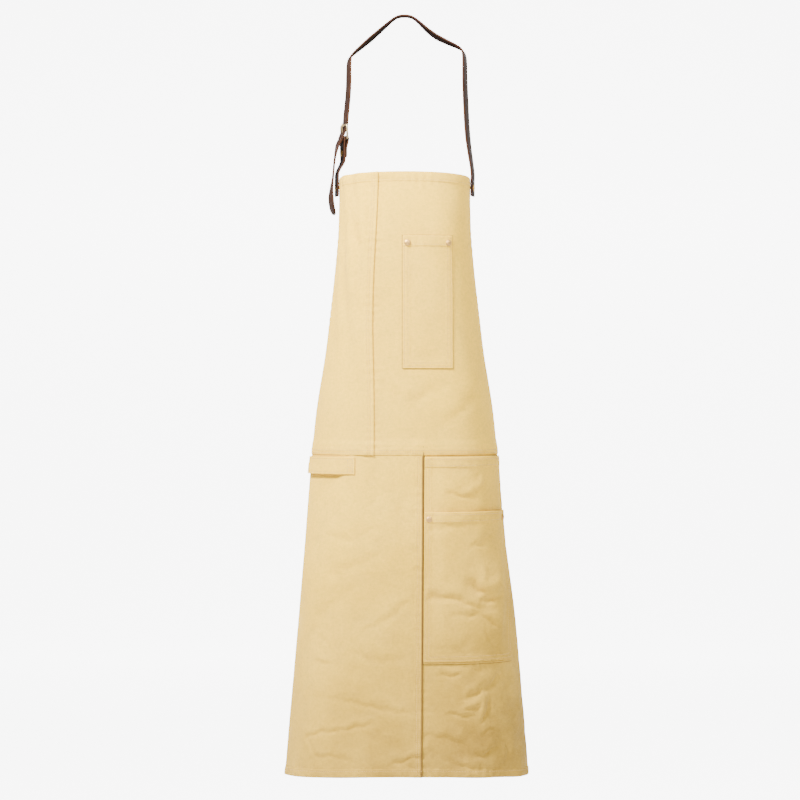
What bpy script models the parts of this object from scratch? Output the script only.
"""Artist's smock apron: canvas bib and skirt, leather neck and waist straps, brass rivets and buckles.

Frame: the origin is on the underside of the neck strap at the nape, +Z is up, and the apron's front
faces -Y. The canvas wraps round the wearer, so places on it are given by an arc, measured along the
cloth from the centre front (positive to +X), and a height.
"""
import math
from collections import namedtuple

import bmesh
import bpy
from mathutils import Matrix, Vector

# Heights of the apron's main lines, metres
BIB_TOP = -0.246
WAIST = -0.659
HEM = -1.127
BIB_TOP_DROP = 0.006      # how much lower the bib's top corners are than its middle
HEM_DROP = 0.012          # how much lower the hem is at the sides than in the middle
HEM_DROP_ARC = 0.24       # arc at which the hem has dropped all the way

# Canvas
CLOTH = 0.0010
LAYER_GAP = 0.0008        # between two layers sewn together
LAYER = CLOTH + LAYER_GAP
COLUMN = 0.012            # widest facet of the canvas along the arc
LAP = 0.012               # how far one panel laps over the next
LAP_SLOPE = 0.008         # arc over which a lapping panel climbs onto the one below
LAP_EASE = 0.0015         # clearance between the climb and the edge it climbs over
BIB_SEAM = -0.045
SKIRT_SEAM = 0.026

# Body form that the canvas lies on, at each height: half width at the silhouette, radius of the front,
# radius of the side, bend (1/radius) behind the silhouette, arc of the panel's edge, and front plane
Form = namedtuple("Form", "height half_width front_radius side_radius back_bend reach front")
FORMS = (
    Form(BIB_TOP, 0.0960, 0.30, 0.060, 0.0, 0.142, -0.128),
    Form(-0.340, 0.0970, 0.32, 0.064, 0.0, 0.144, -0.139),
    Form(-0.500, 0.1155, 0.36, 0.078, 5.0, 0.185, -0.139),
    Form(-0.590, 0.1300, 0.38, 0.088, 8.0, 0.238, -0.140),
    Form(WAIST, 0.1375, 0.40, 0.095, 10.5, 0.290, -0.139),
    Form(-0.800, 0.1490, 0.45, 0.098, 10.0, 0.300, -0.140),
    Form(HEM, 0.1775, 0.55, 0.105, 9.5, 0.320, -0.140),
)

# Pockets
SEWN_MARGIN = 0.013       # flat margin of a pocket, sewn down
POCKET_RAMP = 0.010       # from the margin to where the pocket stands clear
BIB_POCKET_ARCS = (-0.0026, 0.0700)
BIB_POCKET_TOP = -0.3405
BIB_POCKET_BOTTOM = -0.5325
HAND_POCKET_LEFT = 0.0275
HAND_POCKET_RIGHT_TOP = 0.187
HAND_POCKET_RIGHT_BOTTOM = 0.174
HAND_POCKET_TOP = -0.6625
TOOL_POCKET_TOP = -0.7430
SKIRT_POCKET_BOTTOM = -0.9630
TOOL_POCKET_RISE = 0.003  # the tool pocket's bottom edge above the hand pocket's
POCKET_STAND = 0.0085     # how far a pocket stands off what it is sewn to
RIVET_INSET = 0.0065      # rivet's distance from the pocket's side edge
RIVET_DROP = 0.0095       # and from its mouth

# Towel loop
TOWEL_LOOP_ARCS = (-0.205, -0.0735)
TOWEL_LOOP_TOP = -0.6634
TOWEL_LOOP_HEIGHT = 0.0235
TOWEL_LOOP_STAND = 0.0085

# Bib facing, inside the top edge
FACING_ARC = 0.116
FACING_TOP = 0.003
FACING_HEIGHT = 0.022

# Leather
STRAP_WIDTH = 0.020
STRAP = 0.0025
STRAP_GAP = 0.0004
FOOT_OVERLAP = 0.025      # neck strap's length on the bib
CORNER_ARC = 0.130
NECK_LINE_RIGHT = 0.0935  # the neck strap's centre line beside the neck on each side
NECK_LINE_LEFT = 0.0875
NECK_LINE_BACK = 0.005    # how far behind the bib's corners the straps rise
NECK_TURN = math.radians(20)   # how far the straps' outer faces turn to the front beside the neck
SLOPE_TURN = math.radians(14)  # and how far their inner faces turn to the front over the shoulders
SHOULDER_RIGHT = (0.0890, -0.0460, -0.0640)
SHOULDER_LEFT = (-0.0828, -0.0460, -0.0710)
NAPE_FLAT = 0.004         # half length of the level stretch at the nape
NAPE_EASE = 0.003         # and of the level stretch beyond it on each side

# Buckles: outward is away from the wearer, along points from the strap that holds the buckle to its tip
BAR_RADIUS = 0.0015
FRAME_LENGTH = 0.020
FRAME_HALF_WIDTH = 0.0135
FRAME_CORNER = 0.003
PRONG_RADIUS = 0.0010
PRONG_CLEARANCE = 0.0003
TOE_RISE = 0.0010         # how much further out the toe bar is than the heel bar
SLOT_WIDTH = 0.0036
FOLD_SLOT = 0.014
FOLD_RIVET = -0.021       # along the strap from the heel bar
FLAP_GAP = 0.0003
NECK_BUCKLE_HEIGHT = -0.191
NECK_HEEL_OUT = 0.0020    # heel bar outside the neck strap's line
FLAP_LENGTH = 0.028
TAIL_SLOT_LENGTH = 0.0145

# Waist straps, hanging inside the back edges of the skirt
WAIST_STRAP_HEIGHT = -0.676
WAIST_STRAP_EDGE = 0.014  # rivet's distance from the canvas edge
WAIST_STRAP_GAP = 0.0026  # the flat strap's clearance inside the curved canvas
LONG_STRAP = 0.400
SHORT_STRAP = 0.105
STRAP_END = 0.013         # leather above a rivet
HOLE_RADIUS = 0.0019
HOLE_PITCH = 0.025
HOLE_COUNT = 7

# Rivets
CAP_RADIUS = 0.0045
CAP_HEIGHT = 0.0020
SHANK_RADIUS = 0.0015
RIVET_HOLE = 0.0020
BURR_RADIUS = 0.0034
BURR = 0.0008
RIVET_CLEARANCE = 0.0005
RIVET_STEPS = 16

CANVAS = ("canvas", (0.80, 0.63, 0.38), 0.90, 0.0)
LEATHER = ("leather", (0.085, 0.030, 0.016), 0.55, 0.0)
BRASS = ("brass", (0.62, 0.46, 0.22), 0.35, 1.0)


# ---------------------------------------------------------------- scene and materials

def clear_scene():
    for item in list(bpy.data.objects):
        bpy.data.objects.remove(item, do_unlink=True)


def new_collection(name):
    group = bpy.data.collections.new(name)
    bpy.context.scene.collection.children.link(group)
    return group


def finish_of(obj, look):
    """Give the object its own Principled material in the stated look."""
    kind, colour, roughness, metallic = look
    surface = bpy.data.materials.new(f"{obj.name}_{kind}")
    surface.use_nodes = True
    shader = surface.node_tree.nodes["Principled BSDF"]
    shader.inputs["Base Color"].default_value = (*colour, 1.0)
    shader.inputs["Roughness"].default_value = roughness
    shader.inputs["Metallic"].default_value = metallic
    obj.data.materials.append(surface)


def new_part(name, data, look, group, parent=None):
    obj = bpy.data.objects.new(name, data)
    group.objects.link(obj)
    finish_of(obj, look)
    if parent:
        hold(obj, parent)
    return obj


def pivot(name, matrix, group, parent=None):
    """An empty on a joint's axis, which carries the pieces that turn about it."""
    empty = bpy.data.objects.new(name, None)
    empty.empty_display_size = 0.02
    group.objects.link(empty)
    empty.matrix_world = matrix
    bpy.context.view_layer.update()
    if parent:
        hold(empty, parent)
    return empty


def hold(obj, parent):
    """Parent an object without moving it."""
    place = obj.matrix_world.copy()
    obj.parent = parent
    obj.matrix_parent_inverse = parent.matrix_world.inverted()
    obj.matrix_world = place
    bpy.context.view_layer.update()


# ---------------------------------------------------------------- the wrapped canvas surface

def at_height(z, field):
    """A body form value at a height, on one smooth curve through the stated forms."""
    heights = [form.height for form in FORMS]
    values = [getattr(form, field) for form in FORMS]
    z = min(max(z, heights[-1]), heights[0])
    span = next(i for i in range(len(heights) - 1) if z >= heights[i + 1])

    def slope(i):
        before = max(i - 1, 0)
        after = min(i + 1, len(heights) - 1)
        return (values[after] - values[before]) / (heights[after] - heights[before])

    step = heights[span + 1] - heights[span]
    t = (z - heights[span]) / step
    ease = t * t * (3.0 - 2.0 * t)
    leave = t * (1.0 - t) ** 2 * step * slope(span)
    arrive = t * t * (t - 1.0) * step * slope(span + 1)
    return values[span] * (1.0 - ease) + values[span + 1] * ease + leave + arrive


def wrap(arc, z):
    """The inner face of the canvas at an arc and a height: its point and its level outward normal."""
    half_width = at_height(z, "half_width")
    front_radius = at_height(z, "front_radius")
    side_radius = at_height(z, "side_radius")
    turn = math.asin((half_width - side_radius) / (front_radius - side_radius))
    stretches = (
        (1.0 / front_radius, front_radius * turn),
        (1.0 / side_radius, side_radius * (math.pi / 2 - turn)),
        (at_height(z, "back_bend"), math.inf),
    )
    x = 0.0
    y = at_height(z, "front")
    heading = 0.0
    left = abs(arc)
    for bend, length in stretches:
        run = min(left, length)
        after = heading + bend * run
        if abs(bend * run) < 1e-6:
            x += run * math.cos(heading)
            y += run * math.sin(heading)
        else:
            x += (math.sin(after) - math.sin(heading)) / bend
            y += (math.cos(heading) - math.cos(after)) / bend
        heading = after
        left -= run
    side = math.copysign(1.0, arc)
    return Vector((side * x, y, z)), Vector((side * math.sin(heading), -math.cos(heading), 0.0))


def reach(z):
    return at_height(z, "reach")


def bib_top(arc):
    return BIB_TOP - BIB_TOP_DROP * min(abs(arc) / CORNER_ARC, 1.0) ** 2


def hem_line(arc):
    return HEM - HEM_DROP * min(abs(arc) / HEM_DROP_ARC, 1.0) ** 2


def spread(start, end, widest):
    """Even steps from start up to, not including, end, none longer than widest."""
    count = max(1, math.ceil(abs(end - start) / widest))
    return [start + (end - start) * i / count for i in range(count)]


def ramp(distance, margin, run):
    """0 up to the margin, then straight up to 1."""
    return min(max((distance - margin) / run, 0.0), 1.0)


def grid_mesh(name, columns, rows, place):
    """A grid of cells whose corners lie where place(column, row) says, row 0 at the top."""
    mesh = bpy.data.meshes.new(name)
    form = bmesh.new()
    bmesh.ops.create_grid(form, x_segments=columns, y_segments=rows, size=1.0)
    for corner in form.verts:
        column = round((corner.co.x + 1.0) * 0.5 * columns)
        row = round((1.0 - corner.co.y) * 0.5 * rows)
        corner.co = place(column, row)
    form.to_mesh(mesh)
    form.free()
    return mesh


def thicken(obj, thickness, offset):
    shell = obj.modifiers.new("thickness", "SOLIDIFY")
    shell.thickness = thickness
    shell.offset = offset
    shell.use_even_offset = True


def canvas_piece(name, columns_at, rows, top_at, bottom_at, stand, group, parent):
    """A piece of canvas. columns_at(z) lists arcs from left to right; rows are shares of the way from
    the top line to the bottom line; stand(arc, z) is how far its inner face is off the body form."""
    count = len(columns_at(top_at(0.0))) - 1

    def place(column, row):
        share = rows[row]
        rough = top_at(0.0) + (bottom_at(0.0) - top_at(0.0)) * share
        arc = columns_at(rough)[column]
        z = top_at(arc) + (bottom_at(arc) - top_at(arc)) * share
        point, normal = wrap(arc, z)
        return point + normal * stand(arc, z)

    obj = new_part(name, grid_mesh(name, count, len(rows) - 1, place), CANVAS, group, parent)
    thicken(obj, CLOTH, 1.0)
    return obj


def shares(top, bottom, heights, widest):
    """Row shares with lines at the stated heights and none further apart than widest."""
    marks = [top, *heights, bottom]
    lines = []
    for upper, lower in zip(marks, marks[1:]):
        lines += spread(upper, lower, widest)
    lines.append(bottom)
    return [(line - top) / (bottom - top) for line in lines]


# ---------------------------------------------------------------- canvas pieces

def bib_panels(group, parent):
    lap_start = WAIST + LAP + LAP_SLOPE + LAP_EASE
    lap_end = WAIST + LAP + LAP_EASE
    rows = shares(BIB_TOP, WAIST, (lap_start, lap_end), 0.045)

    def waist_lap(z):
        return 2.0 * LAYER * ramp(lap_start - z, 0.0, lap_start - lap_end)

    def left_columns(z):
        inner = BIB_SEAM - LAP - LAP_SLOPE - LAP_EASE
        count = 17
        start = -reach(z)
        even = [start + (inner - start) * i / count for i in range(count)]
        return [*even, inner, inner + LAP_SLOPE, BIB_SEAM]

    def left_stand(arc, z):
        return waist_lap(z) + LAYER * ramp(arc, BIB_SEAM - LAP - LAP_SLOPE - LAP_EASE, LAP_SLOPE)

    def right_columns(z):
        count = 26
        start = BIB_SEAM - LAP
        return [start + (reach(z) - start) * i / count for i in range(count + 1)]

    def right_stand(arc, z):
        return waist_lap(z)

    def foot(arc):
        return WAIST

    left = canvas_piece("bib_left_panel", left_columns, rows, bib_top, foot, left_stand, group, parent)
    right = canvas_piece("bib_right_panel", right_columns, rows, bib_top, foot, right_stand, group, parent)
    return left, right


def bib_facing(group, parent):
    def columns(z):
        return [*spread(-FACING_ARC, FACING_ARC, COLUMN), FACING_ARC]

    def top(arc):
        return bib_top(arc) - FACING_TOP

    def bottom(arc):
        return bib_top(arc) - FACING_TOP - FACING_HEIGHT

    def stand(arc, z):
        return -LAYER

    return canvas_piece("bib_top_facing", columns, (0.0, 0.5, 1.0), top, bottom, stand, group, parent)


def skirt_panels(group, parent):
    rows = shares(WAIST + LAP, HEM, (), 0.050)

    def top(arc):
        return WAIST + LAP

    def left_columns(z):
        inner = SKIRT_SEAM - LAP - LAP_SLOPE - LAP_EASE
        count = 27
        start = -reach(z)
        even = [start + (inner - start) * i / count for i in range(count)]
        return [*even, inner, inner + LAP_SLOPE, SKIRT_SEAM]

    def left_stand(arc, z):
        return LAYER * ramp(arc, SKIRT_SEAM - LAP - LAP_SLOPE - LAP_EASE, LAP_SLOPE)

    def right_columns(z):
        count = 25
        start = SKIRT_SEAM - LAP
        return [start + (reach(z) - start) * i / count for i in range(count + 1)]

    def right_stand(arc, z):
        return 0.0

    left = canvas_piece("skirt_left_panel", left_columns, rows, top, hem_line, left_stand, group, parent)
    right = canvas_piece("skirt_right_panel", right_columns, rows, top, hem_line, right_stand, group, parent)
    return left, right


def pocket_columns(left, right, count):
    """Arcs of a pocket's grid: sewn margins, ramps, and count even steps between."""
    inner_left = left + SEWN_MARGIN + POCKET_RAMP
    inner_right = right - SEWN_MARGIN - POCKET_RAMP
    even = [inner_left + (inner_right - inner_left) * i / count for i in range(count + 1)]
    return [left, left + SEWN_MARGIN, *even, right - SEWN_MARGIN, right]


def pocket_rise(arc, z, left, right, bottom):
    """0 on a pocket's sewn margins, 1 where it stands clear."""
    return min(
        ramp(arc - left, SEWN_MARGIN, POCKET_RAMP),
        ramp(right - arc, SEWN_MARGIN, POCKET_RAMP),
        ramp(z - bottom, SEWN_MARGIN, POCKET_RAMP),
    )


def level(z):
    """A line across the apron at one height."""
    return lambda arc: z


def bib_pocket(group, parent):
    left, right = BIB_POCKET_ARCS
    ramp_rows = (BIB_POCKET_BOTTOM + SEWN_MARGIN + POCKET_RAMP, BIB_POCKET_BOTTOM + SEWN_MARGIN)
    rows = shares(BIB_POCKET_TOP, BIB_POCKET_BOTTOM, ramp_rows, 0.045)

    def stand(arc, z):
        return LAYER + POCKET_STAND * pocket_rise(arc, z, left, right, BIB_POCKET_BOTTOM)

    return canvas_piece(
        "bib_pocket", lambda z: pocket_columns(left, right, 2), rows,
        level(BIB_POCKET_TOP), level(BIB_POCKET_BOTTOM), stand, group, parent,
    )


def skirt_pocket_right(z):
    """Arc of the skirt pockets' right edge, which runs in a little towards the bottom."""
    share = (z - HAND_POCKET_TOP) / (SKIRT_POCKET_BOTTOM - HAND_POCKET_TOP)
    return HAND_POCKET_RIGHT_TOP + (HAND_POCKET_RIGHT_BOTTOM - HAND_POCKET_RIGHT_TOP) * share


def skirt_pocket_rise(arc, z):
    return pocket_rise(arc, z, HAND_POCKET_LEFT, skirt_pocket_right(z), SKIRT_POCKET_BOTTOM)


def skirt_pockets(group, parent):
    ramp_rows = (SKIRT_POCKET_BOTTOM + SEWN_MARGIN + POCKET_RAMP, SKIRT_POCKET_BOTTOM + SEWN_MARGIN)
    tool_bottom = SKIRT_POCKET_BOTTOM + TOOL_POCKET_RISE
    hand_rows = shares(HAND_POCKET_TOP, SKIRT_POCKET_BOTTOM, (TOOL_POCKET_TOP, *ramp_rows), 0.049)
    tool_rows = shares(TOOL_POCKET_TOP, tool_bottom, ramp_rows, 0.049)

    def columns(z):
        return pocket_columns(HAND_POCKET_LEFT, skirt_pocket_right(z), 10)

    def hand_stand(arc, z):
        return LAYER + POCKET_STAND * skirt_pocket_rise(arc, z)

    def tool_stand(arc, z):
        return 2.0 * LAYER + 2.0 * POCKET_STAND * skirt_pocket_rise(arc, z)

    hand = canvas_piece(
        "hand_pocket", columns, hand_rows,
        level(HAND_POCKET_TOP), level(SKIRT_POCKET_BOTTOM), hand_stand, group, parent,
    )
    tool = canvas_piece(
        "tool_pocket", columns, tool_rows,
        level(TOOL_POCKET_TOP), level(tool_bottom), tool_stand, group, parent,
    )
    return hand, tool


def towel_loop(group, parent):
    left, right = TOWEL_LOOP_ARCS

    def columns(z):
        return pocket_columns(left, right, 8)

    def stand(arc, z):
        rise = min(
            ramp(arc - left, SEWN_MARGIN, POCKET_RAMP),
            ramp(right - arc, SEWN_MARGIN, POCKET_RAMP),
        )
        return LAYER + TOWEL_LOOP_STAND * rise

    return canvas_piece(
        "towel_loop", columns, (0.0, 0.5, 1.0),
        level(TOWEL_LOOP_TOP), level(TOWEL_LOOP_TOP - TOWEL_LOOP_HEIGHT), stand, group, parent,
    )


# ---------------------------------------------------------------- leather

def smooth_route(points, steps):
    """A Catmull-Rom curve through the points, with steps stretches between each two."""
    points = [Vector(p) for p in points]
    ends = [2 * points[0] - points[1], *points, 2 * points[-1] - points[-2]]
    route = []
    for a, b, c, d in zip(ends, ends[1:], ends[2:], ends[3:]):
        for i in range(steps):
            t = i / steps
            route.append(
                0.5 * (2 * b + (c - a) * t + (2 * a - 5 * b + 4 * c - d) * t ** 2
                       + (3 * b - a - 3 * c + d) * t ** 3)
            )
    route.append(points[-1])
    return route


def strap(name, route, acrosses, group, parent=None, tip=0.0):
    """A flat strap along a route of centre points. acrosses has about the direction of its width at
    each of them, and a tip over 0 points its far end over that length."""
    lengths = [0.0]
    for a, b in zip(route, route[1:]):
        lengths.append(lengths[-1] + (b - a).length)

    def place(column, row):
        ahead = (route[min(row + 1, len(route) - 1)] - route[max(row - 1, 0)]).normalized()
        across = acrosses[row]
        wide = (across - ahead * across.dot(ahead)).normalized()
        half = STRAP_WIDTH / 2
        left = lengths[-1] - lengths[row]
        if left < tip:
            half *= 0.35 + 0.65 * math.sqrt(left / tip)
        return route[row] + wide * (half if column else -half)

    obj = new_part(name, grid_mesh(name, 1, len(route) - 1, place), LEATHER, group, parent)
    thicken(obj, STRAP, 0.0)
    return obj


def corner_face():
    """Outer face of the strap end's seat at the bib's right corner: x, y and top height."""
    point, _ = wrap(CORNER_ARC, bib_top(CORNER_ARC))
    return at_height(BIB_TOP, "half_width") + CLOTH, point.y, bib_top(CORNER_ARC)


def turned_across(side, turn):
    """Direction of a neck strap's width where its outer face is turned to the front by an angle."""
    return Vector((side * math.sin(turn), math.cos(turn), 0.0))


def neck_outward():
    """Away from the wearer at the neck buckle."""
    return Vector((-math.cos(NECK_TURN), -math.sin(NECK_TURN), 0.0))


def shoulder_run(shoulder, crest, slope, brow):
    """The neck strap's line and width directions from beside the neck, over one shoulder, to the nape."""
    x, y, z = shoulder
    side = math.copysign(1.0, x)
    beside = turned_across(side, NECK_TURN)
    level = Vector((0.0, 1.0, 0.0))
    lowered = Vector((0.0, math.cos(SLOPE_TURN), -math.sin(SLOPE_TURN)))
    nape_z = STRAP / 2
    return [
        ((x + side * 0.0010, y - 0.003, z - 0.045), beside),
        ((x, y, z), turned_across(side, 0.5 * NECK_TURN)),
        (crest, level),
        (slope, lowered),
        (brow, level),
        ((side * (NAPE_FLAT + NAPE_EASE), 0.0, nape_z), level),
        ((side * NAPE_FLAT, 0.0, nape_z), level),
    ]


def neck_strap(group):
    """From the bib's right corner over the shoulders and the nape, and through the neck buckle."""
    face_x, corner_y, corner_top = corner_face()
    seat = face_x + STRAP_GAP + STRAP / 2
    level = Vector((0.0, 1.0, 0.0))
    line_y = corner_y + NECK_LINE_BACK
    right = [
        ((seat, corner_y, corner_top - FOOT_OVERLAP), level),
        ((seat, corner_y, corner_top), level),
        ((seat, corner_y, corner_top + 0.012), turned_across(1, 0.3 * NECK_TURN)),
        ((NECK_LINE_RIGHT, line_y, -0.185), turned_across(1, NECK_TURN)),
    ]
    right += shoulder_run(
        SHOULDER_RIGHT, (0.0825, -0.0400, -0.0530), (0.0445, -0.0190, -0.0310), (0.0160, -0.0030, -0.0040),
    )
    left = shoulder_run(
        SHOULDER_LEFT, (-0.0775, -0.0400, -0.0620), (-0.0475, -0.0205, -0.0335), (-0.0165, -0.0030, -0.0040),
    )
    left.reverse()
    toe_height = NECK_BUCKLE_HEIGHT + FRAME_LENGTH
    at_buckle = turned_across(-1, NECK_TURN)
    left += [
        ((-NECK_LINE_LEFT, line_y, toe_height + 0.010), at_buckle),
        ((-NECK_LINE_LEFT, line_y, toe_height), at_buckle),
    ]
    route = []
    acrosses = []
    for stretch in (right, left):
        route += smooth_route([point for point, _ in stretch], 3)
        acrosses += smooth_route([wide for _, wide in stretch], 3)
    out = NECK_HEEL_OUT + BAR_RADIUS + PRONG_CLEARANCE + STRAP + STRAP_GAP + STRAP / 2 + 0.0004
    end = Vector((-NECK_LINE_LEFT, line_y, NECK_BUCKLE_HEIGHT)) + neck_outward() * out
    route.append(end)
    acrosses.append(at_buckle)
    return strap("neck_strap", route, acrosses, group), end


def neck_tail(start, group, parent):
    """The free end of the neck strap, hanging outside the buckle."""
    offsets = (
        (0.0, -0.0004), (0.0045, -0.010), (0.0075, -0.022), (0.0098, -0.036), (0.0117, -0.056),
        (0.0142, -0.075), (0.0148, -0.089), (0.0130, -0.103), (0.0095, -0.114),
    )
    turns = (1.0, 0.8, 0.4, 0.2, 0.2, 0.6, 1.0, 1.0, 1.0)
    outward = neck_outward()
    route = smooth_route([start + outward * out + Vector((0, 0, down)) for out, down in offsets], 2)
    acrosses = smooth_route([turned_across(-1, turn * NECK_TURN) for turn in turns], 2)
    return strap("neck_strap_tail", route, acrosses, group, parent, tip=0.014)


def fold_route():
    """A buckle strap's centre line in (outward, along): over the heel bar from outside, and back down
    inside as the flap. The heel bar is at 0, 0."""
    radius = BAR_RADIUS + PRONG_CLEARANCE + STRAP / 2
    route = [(radius, -0.006)]
    for i in range(9):
        angle = math.pi * i / 8
        route.append((radius * math.cos(angle), radius * math.sin(angle)))
    flap = radius - STRAP - FLAP_GAP
    route += [(0.0005 - radius, -0.003), (flap - 0.0012, -0.010), (flap, -0.014)]
    route.append((flap, -FLAP_LENGTH))
    return route


def buckle_strap(name, matrix, start, group, parent):
    """A short strap that holds a buckle in its fold. start has the points and width directions that
    lead up to the fold."""
    wide = matrix.to_3x3() @ Vector((0, 1, 0))
    fold = [matrix @ Vector((out, 0.0, along)) for out, along in fold_route()]
    route = [point for point, _ in start] + fold
    acrosses = [direction for _, direction in start] + [wide] * len(fold)
    return strap(name, route, acrosses, group, parent)


def long_waist_strap(matrix, group, parent):
    """Flat strap with a rounded tip and a row of holes: the outline is a 2D curve, extruded."""
    curve = bpy.data.curves.new("waist_strap_long", "CURVE")
    curve.dimensions = "2D"
    curve.fill_mode = "BOTH"
    curve.extrude = STRAP / 2
    half = STRAP_WIDTH / 2
    tip = [
        (half * math.cos(a), -(LONG_STRAP - 1.4 * half) - 1.4 * half * math.sin(a))
        for a in (math.pi * i / 8 for i in range(9))
    ]
    outline = [(-half, STRAP_END), (half, STRAP_END), *tip]
    add_loop(curve, outline)
    for i in range(HOLE_COUNT):
        centre = -(LONG_STRAP - 0.045) + HOLE_PITCH * i
        add_loop(curve, circle(0.0, centre, HOLE_RADIUS, 12))
    add_loop(curve, circle(0.0, 0.0, RIVET_HOLE, 12))
    obj = new_part("waist_strap_long", curve, LEATHER, group)
    obj.matrix_world = matrix
    bpy.context.view_layer.update()
    hold(obj, parent)
    return obj


def circle(x, y, radius, count):
    return [
        (x + radius * math.cos(2 * math.pi * i / count), y + radius * math.sin(2 * math.pi * i / count))
        for i in range(count)
    ]


def add_loop(curve, points):
    spline = curve.splines.new("POLY")
    spline.points.add(len(points) - 1)
    for spot, (x, y) in zip(spline.points, points):
        spot.co = (x, y, 0.0, 1.0)
    spline.use_cyclic_u = True


# ---------------------------------------------------------------- brass

def wire(name, points, radius, cyclic, matrix, group, parent):
    curve = bpy.data.curves.new(name, "CURVE")
    curve.dimensions = "3D"
    curve.bevel_depth = radius
    curve.bevel_resolution = 2
    curve.use_fill_caps = True
    spline = curve.splines.new("POLY")
    spline.points.add(len(points) - 1)
    for spot, point in zip(spline.points, points):
        spot.co = (*point, 1.0)
    spline.use_cyclic_u = cyclic
    obj = new_part(name, curve, BRASS, group)
    obj.matrix_world = matrix
    bpy.context.view_layer.update()
    hold(obj, parent)
    return obj


def buckle_frame(name, matrix, group, parent):
    """A rounded rectangle of wire. Its heel bar lies on the pivot's own Y axis."""
    corners = (
        (-1, 0.0, math.pi), (1, 0.0, math.pi * 1.5), (1, FRAME_LENGTH, 0.0), (-1, FRAME_LENGTH, math.pi / 2),
    )
    points = []
    for side, along, start in corners:
        inward = FRAME_CORNER if along == 0.0 else -FRAME_CORNER
        for i in range(4):
            angle = start + i * math.pi / 6
            across = side * (FRAME_HALF_WIDTH - FRAME_CORNER) + FRAME_CORNER * math.cos(angle)
            run = along + inward + FRAME_CORNER * math.sin(angle)
            points.append((TOE_RISE * run / FRAME_LENGTH, across, run))
    return wire(name, points, BAR_RADIUS, True, matrix, group, parent)


def buckle_prong(name, matrix, group, parent):
    """A wire hooked round the heel bar, its point resting on the toe bar's outer side."""
    radius = BAR_RADIUS + PRONG_CLEARANCE + PRONG_RADIUS
    turns = [math.radians(-250 + 250 * i / 12) for i in range(13)]
    hook = [(radius * math.cos(a), 0.0, radius * math.sin(a)) for a in turns]
    rest = TOE_RISE + BAR_RADIUS + PRONG_CLEARANCE + PRONG_RADIUS
    shank = [(radius + 0.0001, 0.0, 0.004), (rest, 0.0, FRAME_LENGTH), (rest - 0.0002, 0.0, FRAME_LENGTH + 0.003)]
    return wire(name, hook + shank, PRONG_RADIUS, False, matrix, group, parent)


def rivet(name, matrix, grip, group, parent=None):
    """A capped rivet. In its own frame the cap points to +Z and the outer face that it holds is z = 0."""
    base = RIVET_CLEARANCE
    inner = -grip - RIVET_CLEARANCE
    dome = [
        (CAP_RADIUS * math.sin(a), base + 0.0006 + (CAP_HEIGHT - 0.0006) * math.cos(a))
        for a in (math.pi / 2 * i / 4 for i in range(5))
    ]
    profile = [
        *dome, (CAP_RADIUS, base), (SHANK_RADIUS, base), (SHANK_RADIUS, inner),
        (BURR_RADIUS, inner), (BURR_RADIUS, inner - BURR), (0.0, inner - BURR),
    ]
    mesh = bpy.data.meshes.new(name)
    mesh.from_pydata([(x, 0.0, z) for x, z in profile], [(i, i + 1) for i in range(len(profile) - 1)], [])
    obj = new_part(name, mesh, BRASS, group)
    obj.matrix_world = matrix
    turned = obj.modifiers.new("turned", "SCREW")
    turned.axis = "Z"
    turned.steps = RIVET_STEPS
    turned.render_steps = RIVET_STEPS
    turned.use_merge_vertices = True
    turned.merge_threshold = 0.00001
    bpy.context.view_layer.update()
    if parent:
        hold(obj, parent)
    return obj


def facing(point, normal, up=Vector((0, 0, 1))):
    """A frame at a point whose Z axis is the normal."""
    side = up.cross(normal).normalized()
    return Matrix.Translation(point) @ Matrix((side, normal.cross(side), normal)).transposed().to_4x4()


def hole_through(objects, matrix, cutters, radius=RIVET_HOLE, length=0.012):
    """Cut one round hole, on the frame's Z axis, through each object."""
    mesh = bpy.data.meshes.new("rivet_hole")
    form = bmesh.new()
    bmesh.ops.create_cone(
        form, cap_ends=True, segments=12, radius1=radius, radius2=radius, depth=length,
    )
    form.to_mesh(mesh)
    form.free()
    cut(objects, mesh, matrix, cutters)


def slot_through(obj, matrix, size, cutters):
    """Cut a square slot, size along the frame's axes, through an object."""
    mesh = bpy.data.meshes.new("strap_slot")
    form = bmesh.new()
    bmesh.ops.create_cube(form, size=1.0)
    bmesh.ops.scale(form, vec=size, verts=form.verts)
    form.to_mesh(mesh)
    form.free()
    cut([obj], mesh, matrix, cutters)


def cut(objects, mesh, matrix, cutters):
    cutter = bpy.data.objects.new(mesh.name, mesh)
    cutter.hide_render = True
    cutter.display_type = "WIRE"
    cutters.objects.link(cutter)
    cutter.matrix_world = matrix
    for obj in objects:
        opening = obj.modifiers.new("opening", "BOOLEAN")
        opening.operation = "DIFFERENCE"
        opening.solver = "EXACT"
        opening.object = cutter


# ---------------------------------------------------------------- assemblies

def buckle_matrix(point, outward, along):
    """A buckle's frame: X outward, Y across the strap, Z along it."""
    across = along.cross(outward).normalized()
    return Matrix.Translation(point) @ Matrix((outward, across, along)).transposed().to_4x4()


def pocket_rivet(name, arc, z, stand, layers, pieces, group, cutters, parent):
    """A rivet through a pocket's corner and what it is sewn to. layers counts the canvas it holds."""
    point, normal = wrap(arc, z)
    grip = layers * CLOTH + (layers - 1) * LAYER_GAP
    matrix = facing(point + normal * (stand + CLOTH), normal)
    hole_through(pieces, matrix, cutters)
    rivet(name, matrix, grip, group, parent)


def buckle_and_prong(prefix, matrix, group, parent):
    """A frame that turns on its heel bar, and a prong that turns on the same bar."""
    frame_pivot = pivot(f"{prefix}_buckle_pivot", matrix, group, parent)
    prong_pivot = pivot(f"{prefix}_prong_pivot", matrix, group, frame_pivot)
    buckle_frame(f"{prefix}_buckle_frame", matrix, group, frame_pivot)
    buckle_prong(f"{prefix}_buckle_prong", matrix, group, prong_pivot)


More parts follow.
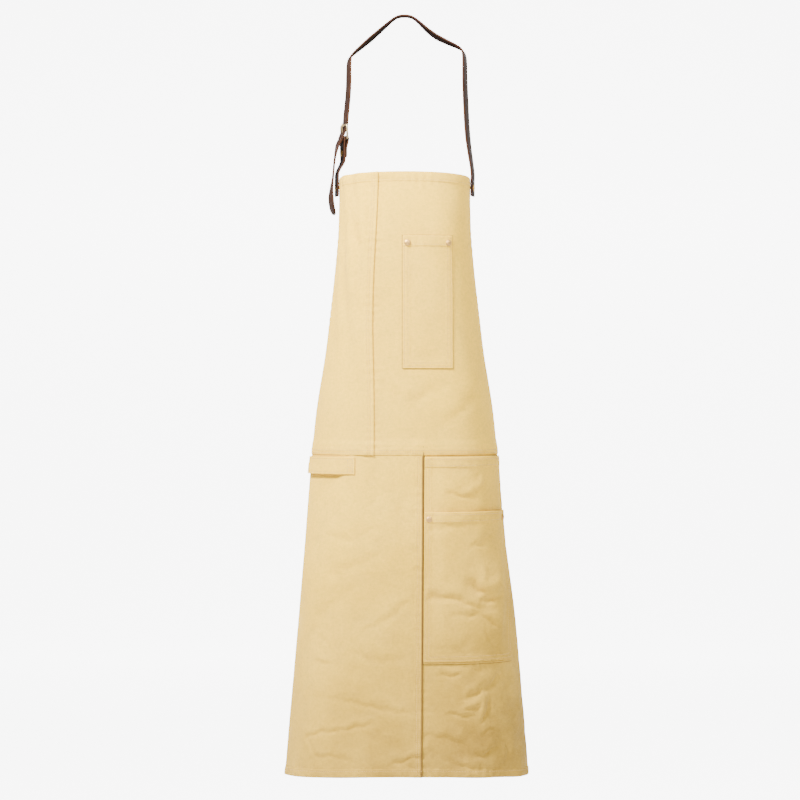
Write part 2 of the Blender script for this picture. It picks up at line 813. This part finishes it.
def fold_rivet(name, matrix, outward, leather, group, cutters, parent=None):
    """The rivet that holds a buckle strap's flap."""
    strap_face = BAR_RADIUS + PRONG_CLEARANCE + STRAP
    place = facing(matrix @ Vector((strap_face, 0.0, FOLD_RIVET)), outward)
    hole_through([leather], place, cutters, length=0.020)
    rivet(name, place, 2 * STRAP + FLAP_GAP, group, parent)


def build_neck(group, cutters, corner_pieces):
    """Neck strap, buckle, tail, and the rivets that the bib swings on."""
    face_x, corner_y, corner_top = corner_face()
    long_strap, strap_end = neck_strap(group)
    outward = neck_outward()
    line_y = corner_y + NECK_LINE_BACK
    heel = Vector((-NECK_LINE_LEFT, line_y, NECK_BUCKLE_HEIGHT)) + outward * NECK_HEEL_OUT
    frame_matrix = buckle_matrix(heel, outward, Vector((0, 0, 1)))
    buckle_and_prong("neck", frame_matrix, group, None)

    seat = face_x + STRAP_GAP + STRAP / 2
    level = Vector((0.0, -1.0, 0.0))
    half_turned = -turned_across(-1, 0.5 * NECK_TURN)
    wide = -turned_across(-1, NECK_TURN)
    fold_out = BAR_RADIUS + PRONG_CLEARANCE + STRAP / 2
    foot = (Vector((-seat, corner_y, corner_top - FOOT_OVERLAP)), level)
    start = [
        foot,
        (Vector((-seat, corner_y, corner_top)), level),
        (Vector((-seat + 0.0012, corner_y + 0.4 * NECK_LINE_BACK, corner_top + 0.012)), half_turned),
        (frame_matrix @ Vector((fold_out, 0.0, -0.034)), wide),
        (frame_matrix @ Vector((fold_out, 0.0, -0.020)), wide),
    ]
    short = buckle_strap("neck_buckle_strap", frame_matrix, start, group, None)
    slot_through(short, frame_matrix, (0.030, SLOT_WIDTH, FOLD_SLOT), cutters)
    threaded = (strap_end - Vector((-NECK_LINE_LEFT, line_y, NECK_BUCKLE_HEIGHT))).length
    slope = math.atan2(threaded, FRAME_LENGTH)
    slot_spot = Matrix.Translation(Vector((0.0035, 0.0, 0.0085)))
    slot_matrix = frame_matrix @ slot_spot @ Matrix.Rotation(-slope, 4, "Y")
    slot_through(long_strap, slot_matrix, (0.008, SLOT_WIDTH, TAIL_SLOT_LENGTH), cutters)

    tail_point = strap_end + outward * (STRAP / 2) - Vector((0.0, 0.0, 0.0004))
    tail_pivot = pivot("neck_tail_pivot", Matrix.Translation(tail_point), group)
    neck_tail(strap_end, group, tail_pivot)
    fold_rivet("neck_fold_rivet", frame_matrix, outward, short, group, cutters)

    height = corner_top - FOOT_OVERLAP / 2
    for side, name, leather, cloth in (
        (1, "bib_corner_rivet_right", long_strap, corner_pieces[1]),
        (-1, "bib_corner_rivet_left", short, corner_pieces[0]),
    ):
        point = Vector((side * (face_x + STRAP_GAP + STRAP), corner_y, height))
        matrix = facing(point, Vector((side, 0, 0)))
        hole_through([leather, cloth], matrix, cutters, length=0.016)
        rivet(name, matrix, STRAP + STRAP_GAP + CLOTH, group)


def waist_seat(side, z):
    """Where a waist strap is riveted inside the skirt's back edge: its frame, X outward, Z up."""
    point, normal = wrap(side * (reach(z) - WAIST_STRAP_EDGE), z)
    across = Vector((0, 0, 1)).cross(normal)
    matrix = Matrix((normal, across, Vector((0, 0, 1)))).transposed().to_4x4()
    return Matrix.Translation(point) @ matrix


def build_waist(group, cutters, apron_pivot, skirts):
    """The long strap on the right edge and the buckle strap on the left one, both hanging down."""
    left_skirt, right_skirt = skirts
    inset = WAIST_STRAP_GAP + STRAP / 2
    seat = waist_seat(1, WAIST_STRAP_HEIGHT)
    normal = seat.to_3x3() @ Vector((1, 0, 0))
    point = seat.to_translation()
    long_pivot = pivot("waist_strap_long_pivot", facing(point, normal), group, apron_pivot)
    long_waist_strap(facing(point - normal * inset, normal), group, long_pivot)
    rivet_matrix = facing(point + normal * CLOTH, normal)
    hole_through([right_skirt], rivet_matrix, cutters)
    rivet("waist_rivet_right", rivet_matrix, CLOTH + WAIST_STRAP_GAP + STRAP, group, apron_pivot)

    seat = waist_seat(-1, WAIST_STRAP_HEIGHT)
    normal = seat.to_3x3() @ Vector((1, 0, 0))
    point = seat.to_translation()
    short_pivot = pivot("waist_strap_short_pivot", facing(point, normal), group, apron_pivot)
    radius = BAR_RADIUS + PRONG_CLEARANCE + STRAP / 2
    heel = point - normal * (inset + radius) - Vector((0, 0, SHORT_STRAP))
    frame_matrix = buckle_matrix(heel, normal, Vector((0, 0, -1)))
    wide = frame_matrix.to_3x3() @ Vector((0, 1, 0))
    start = [
        (frame_matrix @ Vector((radius, 0.0, along)), wide)
        for along in (-(SHORT_STRAP + STRAP_END), -0.5 * SHORT_STRAP)
    ]
    short = buckle_strap("waist_strap_short", frame_matrix, start, group, short_pivot)
    slot_through(short, frame_matrix, (0.030, SLOT_WIDTH, FOLD_SLOT), cutters)
    rivet_matrix = facing(point + normal * CLOTH, normal)
    hole_through([left_skirt, short], rivet_matrix, cutters, length=0.016)
    rivet("waist_rivet_left", rivet_matrix, CLOTH + WAIST_STRAP_GAP + STRAP, group, apron_pivot)
    fold_rivet("waist_fold_rivet", frame_matrix, normal, short, group, cutters, short_pivot)
    buckle_and_prong("waist", frame_matrix, group, short_pivot)


def build_apron():
    clear_scene()
    group = new_collection("artist_smock_apron")
    cutters = new_collection("cutters")
    _, corner_y, corner_top = corner_face()
    hinge_point = Vector((0.0, corner_y, corner_top - FOOT_OVERLAP / 2))
    apron_pivot = pivot("apron_pivot", Matrix.Translation(hinge_point), group)

    bibs = bib_panels(group, apron_pivot)
    bib_facing(group, apron_pivot)
    skirts = skirt_panels(group, apron_pivot)
    chest_pocket = bib_pocket(group, apron_pivot)
    hand, tool = skirt_pockets(group, apron_pivot)
    towel_loop(group, apron_pivot)

    left, right = BIB_POCKET_ARCS
    height = BIB_POCKET_TOP - RIVET_DROP
    for name, arc in (("left", left + RIVET_INSET), ("right", right - RIVET_INSET)):
        pocket_rivet(
            f"bib_pocket_rivet_{name}", arc, height, LAYER, 2, [chest_pocket, bibs[1]],
            group, cutters, apron_pivot,
        )
    height = TOOL_POCKET_TOP - RIVET_DROP
    edges = (HAND_POCKET_LEFT + RIVET_INSET, skirt_pocket_right(height) - RIVET_INSET)
    for name, arc in zip(("left", "right"), edges):
        pocket_rivet(
            f"tool_pocket_rivet_{name}", arc, height, 2 * LAYER, 3, [tool, hand, skirts[1]],
            group, cutters, apron_pivot,
        )
    build_neck(group, cutters, bibs)
    build_waist(group, cutters, apron_pivot, skirts)
    bpy.context.view_layer.update()


build_apron()
